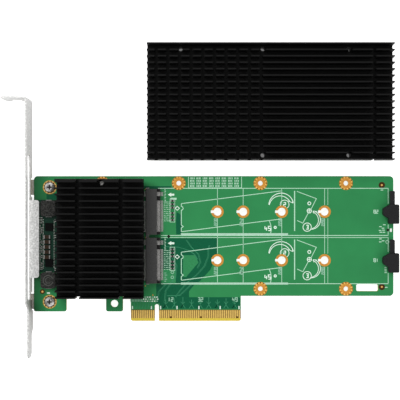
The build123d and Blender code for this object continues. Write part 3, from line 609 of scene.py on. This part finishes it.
def connector_marks(pale, bright, barred):
    """The marks beside one drive connector: rows of part marks, the frame of a row of parts and an arrow."""
    for row, y in spaced(4.36, pitch=-0.88, count=11):
        for column, x in spaced(3.35, pitch=0.75, count=4):
            pale.mark(x, y, length=0.3 + 0.11 * ((row + 2 * column) % 3), height=0.34)
    for row, y in spaced(10.14, pitch=-0.72, count=9):
        pale.mark(3.55, y, length=0.4 + 0.25 * (row % 2), height=0.36)
    parts_frame = [(6.15, 6.1), (8.35, 6.1), (8.35, -4.8), (6.15, -4.8)]
    pale.line(parts_frame, width=0.24, closed=True)
    if barred:
        pale.bar((6.3, 9.2), (5.6, 6.5))
    arrow_head = [(5.1, 7.95), (6.7, 8.9), (6.7, 7.0)]
    bright.patch(arrow_head)
    bright.bar((6.6, 8.1), (7.5, 8.4))


# The marks of the whole board

# The guide's frame: its sides, the two lines between the slots, and the stretches of its right side
FRAME_LEFT, FRAME_RIGHT = 1.9, 108.0
FRAME_LOW, FRAME_HIGH = 17.4, 61.9
BETWEEN_SLOTS = ((39.9, 0.34), (38.95, 0.26))
RIGHT_STRETCHES = ((54.8, 61.8), (40.2, 45.0), (32.2, 39.0), (17.5, 22.4))
# The lower left corners of small marks by the fiducials, the light and the clips
END_MARKS = ((104.4, 60.9), (106.4, 15.5), (104.9, 43.1), (103.5, 42.0), (105.3, 41.2), (103.7, 43.8),
             (105.1, 42.2), (103.9, 41.2), (103.7, 38.1), (104.9, 37.2), (103.6, 36.7), (105.5, 44.7))
# Ticks above the edge contacts, and the contact numbers between them
TICKS = (-11.4, -2.55, 1.75, 9.4, 19.6, 29.5, 38.3)
CONTACT_NUMBERS = ((5.3, "12"), (19.2, "32"), (35.3, "49"))
LABEL_FRAME = ((14.7, 67.3), (14.7, 62.1), (39.5, 62.1), (39.5, 67.3))
# The broad bars on the frame's lower line and between the slots
BROAD_BARS = (((11.2, 61.2), (40.1, 40.95)), ((11.2, 61.2), (17.0, 17.95)))
# An upright line just past the longest drive length
PAST_LONGEST = 79.75


def guide_frame(pale):
    """The frame round both slots and the lines at each drive length, with gaps at the keyholes."""
    pale.line([(0.5, FRAME_HIGH), (FRAME_RIGHT, FRAME_HIGH)], width=0.32)
    pale.line([(FRAME_LEFT, FRAME_LOW), (FRAME_RIGHT, FRAME_LOW)], width=0.32)
    for y, width in BETWEEN_SLOTS:
        pale.line([(FRAME_LEFT, y), (FRAME_RIGHT, y)], width)
    for start, end in RIGHT_STRETCHES:
        pale.line([(FRAME_RIGHT - 0.1, start), (FRAME_RIGHT - 0.1, end)], width=0.3)
    gaps = [(y - KEYHOLE_CLEARANCE, y + KEYHOLE_CLEARANCE) for y in SLOT_YS]
    for length in DRIVE_LENGTHS:
        pale.ladder(DATUM_X + length, (FRAME_LOW, FRAME_HIGH), width=0.24, gaps=gaps)
    pale.ladder(PAST_LONGEST, (FRAME_LOW, FRAME_HIGH), width=0.2, gaps=gaps)


def end_marks(pale):
    """Small marks by the fiducials, the light and the clips."""
    for x, y in END_MARKS:
        pale.mark(x, y, length=1.2, height=0.4)
    pale.ring(107.5, 36.9, radius=0.75, width=0.22, steps=12)
    for _, y in spaced(22.4, pitch=0.8, count=4):
        pale.mark(106.2, y, length=1.0, height=0.35)


def contact_marks(dim, bright):
    """Ticks and numbers above the edge contacts, and small marks by the heatsink and the lower inductor."""
    for x in TICKS:
        bright.mark(x - 0.24, 5.5, length=0.48, height=1.5)
    for x, text in CONTACT_NUMBERS:
        figures(dim, text, x, 9.2, height=1.7, width=0.42)
    for row, y in spaced(9.0, pitch=0.95, count=3):
        for column, x in spaced(-6.9, pitch=1.1, count=7):
            ink = bright if (row + column) % 3 else dim
            ink.mark(x + 0.3 * (row % 2), y, length=0.7, height=0.5)
    for _, x in spaced(-12.4, pitch=0.72, count=8):
        dim.mark(x, 9.0, length=0.4, height=1.2)
    bright.mark(-51.3, 12.7, length=1.4, height=0.7)


def spare_pads(dim):
    """Two rings and a few marks below the lower connector."""
    for y in (22.7, 20.4):
        dim.ring(7.2, y, radius=0.62, width=0.34, steps=12)
    for row, y in spaced(18.4, pitch=0.95, count=5):
        dim.mark(3.5, y, length=0.8 + 0.5 * (row % 2), height=0.35)


def label_field(pale):
    """The framed field of small figures on the upper edge, as columns of plain marks."""
    pale.line(LABEL_FRAME, width=0.3)
    for column, left in spaced(15.5, pitch=2.95, count=8):
        for row, y in spaced(66.15, pitch=-1.2, count=4):
            for number, x in spaced(left, pitch=0.56, count=4):
                pale.mark(x, y, length=0.26 + 0.14 * ((column + number + row) % 2), height=0.85)


def slot_marks(pale, bright, dim):
    """What is printed beside both slots."""
    for number, middle in zip((2, 1), SLOT_YS):
        for ink in (pale, bright, dim):
            ink.middle = middle
        fitting_marks(pale, bright)
        holding_marks(pale, bright)
        slot_figures(pale, dim, "8" + str(number))
        connector_marks(pale, bright, barred=number == 2)
    for ink in (pale, bright, dim):
        ink.middle = 0


def printing():
    """All the line printing, in a bright, a pale and a dim ink, as the thin strokes look from here."""
    pale, bright, dim = Layer(PRINT_LEVEL), Layer(PRINT_LEVEL), Layer(PRINT_LEVEL)
    guide_frame(pale)
    end_marks(pale)
    contact_marks(dim, bright)
    spare_pads(dim)
    slot_marks(pale, bright, dim)
    label_field(pale)
    bars = Layer(COVER_LEVEL)
    for x, y in BROAD_BARS:
        bars.bar(x, y)
    pale.finish("pale_printing", paint("pale_ink", PALE_INK))
    bright.finish("bright_printing", paint("white_ink", WHITE_INK))
    dim.finish("dim_printing", paint("dim_ink", DIM_INK))
    bars.finish("broad_bars", paint("bar_ink", BAR_INK))


# Copper under the mask

# Where the copper stops round the lanes: an outline up to the first keyhole's ring, and on from it
LANE_FIELD_BEFORE = [(1.4, 11.1), (15.0, 11.1), (15.0, 13.9), (17.3, 16.7), (20.1, 18.6), (25.0, 24.0)]
LANE_FIELD_AFTER = [(28.2, 38.6), (1.4, 38.6)]
UPPER_FIELD = [(9.0, 40.4), (11.5, 40.4), (11.3, 49.6), (9.2, 50.9), (8.9, 47.0)]
# Other stretches without copper, as their spans along X and Y
BARE_SPANS = (((-0.3, 1.4), (8.2, 17.2)), ((1.4, 38.8), (8.2, 11.1)), ((1.3, 38.8), (5.7, 8.2)),
              ((-6.4, 6.6), (61.5, 62.9)), ((-51.5, -46.0), (56.6, 59.6)))
# Painted shade on the mask by the power parts, between the bracket and the controller's heatsink
POWER_SHADE_FIELD = ((-55.6, -46.2), (22.9, 56.5))
COPPER_ISLAND = [(12.2, 20.5), (13.6, 20.5), (19.4, 27.3), (17.8, 30.7), (12.2, 30.7)]
SPARE_PAD_ISLAND = ((1.9, 8.8), (17.8, 24.2))

# Pairs of lanes from the connectors towards the edge contacts, and how the second of a pair is set off
LANE_ROUTES = (
    [(3.8, 34.7), (9.8, 34.5), (14.5, 33.1), (17.3, 31.2), (18.7, 28.9)],
    [(13.6, 37.8), (15.9, 34.5), (19.2, 31.2), (20.1, 27.5), (18.7, 24.7)],
    [(24.4, 35.4), (23.8, 33.5), (23.8, 30.3), (22.0, 25.6), (18.2, 21.4), (13.6, 17.7), (10.8, 14.4),
     (8.4, 11.1)],
    [(4.3, 17.6), (0.6, 13.6), (0.2, 9.4)],
    [(6.9, 30.0), (9.0, 26.0), (8.4, 20.4), (3.9, 14.2), (3.4, 9.2)],
    [(16.2, 17.4), (10.5, 12.0), (4.6, 11.8)],
)
LANE_OFFSET = (0.45, -0.1)
VIAS = ((-1.9, 12.1), (-0.9, 18.0))
PLUGGED_VIA_PLACE = (5.5, 39.45)


def keyhole_edge():
    """The dark field's edge round the first keyhole of the lower slot, as far from it as its ring reaches."""
    x, y = DATUM_X + DRIVE_LENGTHS[0], SLOT_YS[1]
    radius = KEYHOLE_CLEARANCE - 0.3
    turns = [math.radians(angle) for angle in range(220, 89, -13)]
    return [(x + radius * math.cos(turn), y + radius * math.sin(turn)) for turn in turns]


def dark_fields():
    """Where the copper stops, the mask looks darker round the lanes; by the power parts it is darkened with
    painted shade.
    """
    layer = Layer(POUR_LEVEL)
    layer.patch(LANE_FIELD_BEFORE + keyhole_edge() + LANE_FIELD_AFTER)
    layer.patch(UPPER_FIELD)
    for x, y in BARE_SPANS:
        layer.bar(x, y)
    layer.finish("dark_fields", paint("mask_over_laminate", DARK_GREEN), "solder_mask")
    # Painted shade by the power parts
    shaded = Layer(ISLAND_LEVEL)
    shaded.bar(*POWER_SHADE_FIELD)
    shaded.finish("power_shade_field", paint("painted_shade_by_power_parts", SHADED_GREEN), "solder_mask")
    island = Layer(ISLAND_LEVEL)
    island.patch(COPPER_ISLAND)
    island.bar(*SPARE_PAD_ISLAND)
    island.finish("copper_island", paint("mask_over_copper", MASK_OVER_COPPER), "solder_mask")


def lanes():
    """Pairs of lanes that sweep from the connectors towards the edge contacts, and the short necks there."""
    layer = Layer(TRACE_LEVEL)
    for route in LANE_ROUTES:
        layer.line(route, width=0.2)
        layer.line([(x + LANE_OFFSET[0], y + LANE_OFFSET[1]) for x, y in route], width=0.14)
    foot, fork, arms = 5.9, 7.6, 9.0
    for number, x in spaced(4.1, pitch=4.02, count=9):
        top = 10.0 + 0.6 * (number % 3)
        layer.line([(x - 1.1, foot), (x, fork), (x, top)], width=0.26)
        layer.line([(x + 1.1, foot), (x, fork)], width=0.26)
        layer.line([(x - 1.0, arms), (x, fork + 0.3), (x + 1.0, arms)], width=0.2)
    for _, x in spaced(-11.0, pitch=1.35, count=7):
        layer.line([(x, 5.8), (x + 0.5, 7.4), (x + 0.5, 9.4)], width=0.24)
    layer.finish("lanes", paint("mask_over_lanes", TRACE_GREEN), "solder_mask")


def vias(copper):
    """Two small plated holes by the controller's heatsink."""
    layer = Layer(TRACE_LEVEL)
    for x, y in VIAS:
        layer.disc(x, y, radius=0.3, sides=10)
    layer.finish("vias", copper, "copper_pad")


def mask_openings():
    """Dark openings in the mask round the copper dots, and a plugged via between the slots."""
    openings = Layer(POUR_LEVEL)
    for x, y, radius in COPPER_DOTS:
        openings.disc(x, y, radius, sides=24)
    openings.finish("mask_openings", paint("bare_opening", BARE_OPENING), "solder_mask")
    plug = Layer(COVER_LEVEL)
    plug.disc(*PLUGGED_VIA_PLACE, radius=0.7, sides=16)
    plug.finish("plugged_via", paint("plugged_via", PLUGGED_VIA), "solder_mask")


# Raised details

# The corners of a block's six sides, where X turns slowest and Z fastest
BLOCK_SIDES = ((0, 1, 3, 2), (4, 6, 7, 5), (0, 4, 5, 1), (2, 3, 7, 6), (0, 2, 6, 4), (1, 5, 7, 3))

# Columns of the smallest chip parts: left side, right side, lowest y, pitch and count
CHIP_COLUMNS = ((-54.75, -54.2, 24.4, 1.45, 17), (-53.2, -52.8, 24.9, 1.45, 16),
                (-48.1, -47.75, 25.0, 1.5, 15))
CHIP_LENGTH = 0.5
CHIP_END = 0.26
CHIP_HEIGHT = 0.35
LIGHT_CHIP = ((107.2, 108.1), (41.9, 43.0))

# A drive connector's dark gaps, painted shadow: spans along X and along Y from the slot's middle, and what
# they lie on
CONNECTOR_SHADOW_SPANS = (
    ((0.1, 1.5), (-10.55, -9.55), CHEEK_TOP),
    ((0.1, 1.5), (9.55, 10.55), CHEEK_TOP),
    ((0.1, 1.5), (5.3, 6.95), KEY_TOP),
    ((1.48, 1.72), (-9.5, 9.5), LEAD_TOP),
)

# A solder dome's rings of points, as shares of its radius and height
DOME_RINGS = ((1.0, 0.0), (0.6, 0.75))
DOME_SIDES = 8
# The star-shaped pads: how many points they have, and how far out the domes and the gaps between them lie
STAR_POINTS = 12
STAR_DOME_RADIUS = 2.62
STAR_GAP_RADIUS = 2.9
# The connectors' anchors, with y from the slot's middle
ANCHOR_X = -5.35
ANCHOR_YS = (10.45, -11.9)

# A screw's cross recess, whose floor is painted shade: how far its arms reach, half their width, and its
# floor's depth
RECESS_ARM = 1.15
RECESS_HALF = 0.34
RECESS_DEPTH = 0.3


def boxes(name, blocks, material):
    """Small blocks given by their span along each axis in millimetres."""
    vertices, faces = [], []
    for x, y, z in blocks:
        start = len(vertices)
        vertices += [(a, b, c) for a in x for b in y for c in z]
        faces += [tuple(start + corner for corner in side) for side in BLOCK_SIDES]
    piece(name, vertices, faces, material)


def small_chips():
    """Columns of the smallest chip parts in the power field: dark bodies with pale ends."""
    bodies, ends = [], []
    level = (FACE, FACE + CHIP_HEIGHT)
    raised = (FACE, FACE + CHIP_HEIGHT + GAP_PROUD)
    for left, right, lowest, pitch, count in CHIP_COLUMNS:
        for _, y in spaced(lowest, pitch, count):
            far = y + CHIP_LENGTH
            bodies.append(((left, right), (y, far), level))
            ends.append(((left, right), (far, far + CHIP_END), raised))
            ends.append(((left, right), (y - CHIP_END, y), raised))
    bodies.append((*LIGHT_CHIP, level))
    boxes("small_chips", bodies, paint("chip_dark", CHIP_DARK))
    boxes("small_chip_ends", ends, paint("chip_ends", CHIP_ENDS))


def connector_shadows():
    """Painted shadow in the dark gaps at each drive connector: its cheeks, its key and the line between the
    contact rows.
    """
    blocks = [(x, (middle + y[0], middle + y[1]), (level, level + GAP_PROUD))
              for middle in SLOT_YS for x, y, level in CONNECTOR_SHADOW_SPANS]
    boxes("connector_shadows", blocks, paint("connector_gap_shadow", CONNECTOR_SHADOW, SHADOW))


def domes(name, places, radius, height, level, material):
    """Low solder domes."""
    vertices, faces = [], []
    base = FACE + level
    for x, y in places:
        start = len(vertices)
        inner, top = start + DOME_SIDES, start + 2 * DOME_SIDES
        for size, rise in DOME_RINGS:
            z = base + height * rise
            vertices += [(px, py, z) for px, py in round_points(x, y, radius * size, DOME_SIDES)]
        vertices.append((x, y, base + height))
        for side in range(DOME_SIDES):
            following = (side + 1) % DOME_SIDES
            faces.append((start + side, start + following, inner + following, inner + side))
            faces.append((inner + side, inner + following, top))
    obj = piece(name, vertices, faces, material)
    for polygon in obj.data.polygons:
        polygon.use_smooth = True


def pad_gaps():
    """Dark gaps between the star-shaped pads' domes, and a ring of painted shade round each bracket screw's
    head.
    """
    gaps = Layer(PAD_GAP_LEVEL)
    for hole in SINK_HOLES:
        for x, y in round_points(*hole, STAR_GAP_RADIUS, STAR_POINTS):
            gaps.disc(x, y, radius=0.26, sides=8)
    # Painted shade: a dark ring round each bracket screw's head
    for x, y in BRACKET_SCREWS:
        gaps.ring(x, y, radius=2.55, width=0.6, steps=36)
    gaps.finish("pad_gaps", paint("pad_gap_and_screw_shade", PAD_GAP_AND_SHADE), "copper_pad")


def pad_dashes():
    """Bright dashes round the bracket screws, and the bright middles of the copper dots."""
    dashes = Layer(PAD_DASH_LEVEL)
    for x, y in BRACKET_SCREWS:
        for turn in range(0, 360, 30):
            dashes.arc(x, y, radius=2.82, turn=(turn - 9, turn + 9), width=0.5, steps=3)
    for x, y, _ in COPPER_DOTS:
        dashes.disc(x, y, radius=0.3, sides=12)
    dashes.finish("pad_dashes", paint("pad_dash", PAD_DASH), "tinned")


def pad_details():
    """Solder domes on the star-shaped pads and the connectors' anchors, and gaps, painted shade and dashes by
    them.
    """
    solder = grained("solder", linear(*SOLDER), SOLDER_FINISH)
    star_places = [place for hole in SINK_HOLES
                   for place in round_points(*hole, STAR_DOME_RADIUS, STAR_POINTS, first=0.5)]
    domes("pad_domes", star_places, radius=0.32, height=0.12, level=PAD_LEVEL, material=solder)
    pad_gaps()
    pad_dashes()
    peaks = [(ANCHOR_X, middle + y) for middle in SLOT_YS for y in ANCHOR_YS]
    domes("anchor_peaks", peaks, radius=0.28, height=0.2, level=PEAK_LEVEL, material=solder)


def recess_shadows():
    """Painted shade on the floors of the bracket screws' cross recesses."""
    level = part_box("bracket_screws")[1].z / MM - RECESS_DEPTH
    arm, half = RECESS_ARM, RECESS_HALF
    cross = [(arm, -half), (arm, half), (half, half), (half, arm), (-half, arm), (-half, half),
             (-arm, half), (-arm, -half), (-half, -half), (-half, -arm), (half, -arm), (half, -half)]
    vertices, faces = [], []
    for cx, cy in BRACKET_SCREWS:
        faces.append(tuple(range(len(vertices), len(vertices) + len(cross))))
        vertices += [(cx + x, cy + y, level) for x, y in cross]
    piece("recess_shade_floors", vertices, faces, paint("recess_shade", RECESS_SHADE, SHADOW))


def inductor_marks():
    """The round mark on the lower inductor."""
    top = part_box("power_inductors")[1].z / MM
    proud = 0.01
    layer = Layer(top - FACE + proud)
    layer.arc(*LOWER_INDUCTOR, radius=2.3, turn=(20, 340), width=0.3, steps=24)
    layer.arc(*LOWER_INDUCTOR, radius=1.3, turn=(60, 300), width=0.22, steps=16)
    layer.finish("inductor_mark", paint("inductor_ink", INDUCTOR_INK), "inductor_body")


# Floor, light and camera

def background_rays(tree):
    """1 for the rays that show the background: those of the camera, a glossy surface or glass."""
    path = tree.nodes.new("ShaderNodeLightPath").outputs
    shown = path["Is Camera Ray"]
    for ray in ("Is Glossy Ray", "Is Transmission Ray"):
        node = tree.nodes.new("ShaderNodeMath")
        node.operation = "MAXIMUM"
        tree.links.new(shown, node.inputs[0])
        tree.links.new(path[ray], node.inputs[1])
        shown = node.outputs["Value"]
    return shown


def floor_finish():
    """Matt white, with less lift under the laid heatsink as painted shade, which its holes show."""
    graph = Graph("floor_white")
    place = graph.axes(graph.place)
    low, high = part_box("drive_heatsink")
    edge = HOLE_MARGIN * MM
    across = graph.both(graph.above(place["X"], low.x + edge), graph.below(place["X"], high.x - edge))
    along = graph.both(graph.above(place["Y"], low.y + edge), graph.below(place["Y"], high.y - edge))
    lift = graph.spread(graph.both(across, along), FLOOR_LIFT, HOLE_SHADE_LIFT, 0, 1)
    graph.feed("Emission Strength", graph.both(background_rays(graph.tree), lift))
    white = (1, 1, 1)
    graph.set(Base_Color=shade(white, FLOOR_GREY), Emission_Color=shade(white, 1), Roughness=1,
              Specular_IOR_Level=0)
    return graph.material


def white_floor():
    """A plain white floor just below what stands on it."""
    half = FLOOR_SIZE / 2
    level = TABLE - FLOOR_BELOW * MM
    corners = [(-half, -half, level), (half, -half, level), (half, half, level), (-half, half, level)]
    mesh = bpy.data.meshes.new("floor")
    mesh.from_pydata(corners, [], [(0, 1, 2, 3)])
    mesh.materials.append(floor_finish())
    floor = bpy.data.objects.new("floor", mesh)
    bpy.context.scene.collection.objects.link(floor)


def surround():
    """An even pale surround, which the camera and glossy surfaces see as white."""
    world = bpy.data.worlds.new("surround")
    bpy.context.scene.world = world
    world.use_nodes = True
    tree = world.node_tree
    background = tree.nodes["Background"]
    background.inputs["Color"].default_value = (1, 1, 1, 1)
    strength = tree.nodes.new("ShaderNodeMapRange")
    strength.inputs["To Min"].default_value = SURROUND
    strength.inputs["To Max"].default_value = 1
    tree.links.new(background_rays(tree), strength.inputs["Value"])
    tree.links.new(strength.outputs["Result"], background.inputs["Strength"])


def lamps():
    """Two broad soft lamps above the card."""
    for name, (place, power, size) in LAMPS.items():
        lamp = bpy.data.lights.new(name, "AREA")
        lamp.energy = power
        lamp.size = size
        obj = bpy.data.objects.new(name, lamp)
        obj.location = place
        obj.rotation_mode = "QUATERNION"
        aim = Vector(LAMP_AIM) - obj.location
        obj.rotation_quaternion = aim.to_track_quat("-Z", "Y")
        bpy.context.scene.collection.objects.link(obj)


def camera():
    """The photograph's view of the card."""
    data = bpy.data.cameras.new("camera")
    data.sensor_fit = "HORIZONTAL"
    data.angle = math.radians(CAMERA_ANGLE)
    data.clip_start = 0.05
    obj = bpy.data.objects.new("camera", data)
    obj.location = CAMERA_PLACE
    bpy.context.scene.collection.objects.link(obj)
    bpy.context.scene.camera = obj
    bpy.context.scene.view_settings.view_transform = "Standard"


finishes = make_finishes()
dress_nodes(finishes)
dark_fields()
lanes()
vias(finishes["copper_pad"])
mask_openings()
printing()
small_chips()
connector_shadows()
pad_details()
recess_shadows()
inductor_marks()
white_floor()
surround()
lamps()
camera()
